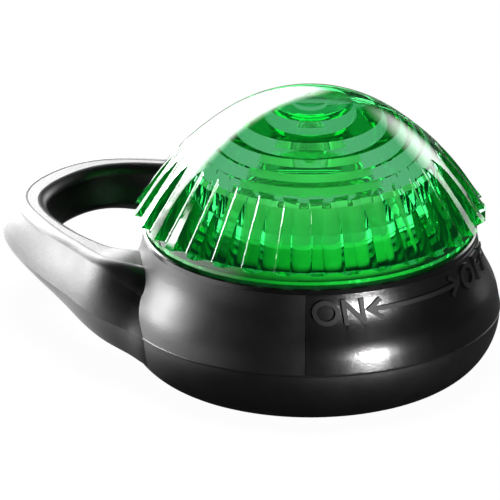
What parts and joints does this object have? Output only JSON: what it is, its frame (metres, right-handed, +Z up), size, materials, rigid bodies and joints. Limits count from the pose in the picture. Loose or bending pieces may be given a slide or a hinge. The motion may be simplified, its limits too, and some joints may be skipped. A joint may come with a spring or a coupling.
{
  "type": "twist-lens marker light",
  "caption": "Small round safety marker light: black bowl-shaped base with a teardrop lanyard loop and a fluted green dome lens that twists to switch the light on and off.",
  "frame": {"origin": "centre of the flat underside of the base", "axes": "+Z up along the lens axis, the lanyard loop towards -X, the far side of the neck from the loop towards +X"},
  "size_m": [0.0455, 0.032, 0.0245],
  "materials": {
    "housing": "fine moulded texture with a smoother panel round the legend",
    "cradle": "plain moulding",
    "contact_metal": "bright sheet",
    "cell_metal": "bright drawn can",
    "cell_cap": "bright drawn cap",
    "gasket": "moulded seal",
    "board": "solder-masked laminate",
    "led_resin": "clear tinted resin",
    "tinned": "tinned",
    "chip": "moulded package",
    "ceramic": "glazed ceramic",
    "white_plate": "polished white",
    "lens_green": "polished clear green",
    "seal": "smooth"
  },
  "bodies": {
    "base": {"base_housing": "housing", "battery_cradle": "cradle", "return_strip": "contact_metal", "lower_cell_can": "cell_metal", "lower_cell_cap": "cell_cap", "lower_cell_gasket": "gasket", "upper_cell_can": "cell_metal", "upper_cell_cap": "cell_cap", "upper_cell_gasket": "gasket"},
    "led_module": {"module_carrier": "cradle", "led_board": "board", "led": "led_resin", "led_leads": "tinned", "driver_chip": "chip", "chip_pins": "tinned", "capacitor": "ceramic", "resistor": "chip", "reflector_plate": "white_plate", "contact_spring": "contact_metal", "side_contact": "contact_metal"},
    "lens_group": {"lens": "lens_green", "lens_o_ring": "seal", "retaining_ring": "cradle"}
  },
  "joints": [
    {"name": "module_slide", "type": "slide", "parent": "base", "child": "led_module", "axis": [0, 0, -1], "range_m": [-0.0031, 0.00026]},
    {"name": "lens_twist", "type": "hinge", "parent": "led_module", "child": "lens_group", "pos_m": [0, 0, 0.013], "axis": [0, 0, -1], "range_deg": [-720, 60]}
  ],
  "couplings": [
    {"joint": "module_slide", "follows": "lens_twist", "m_per_rad": 0.00023873}
  ]
}
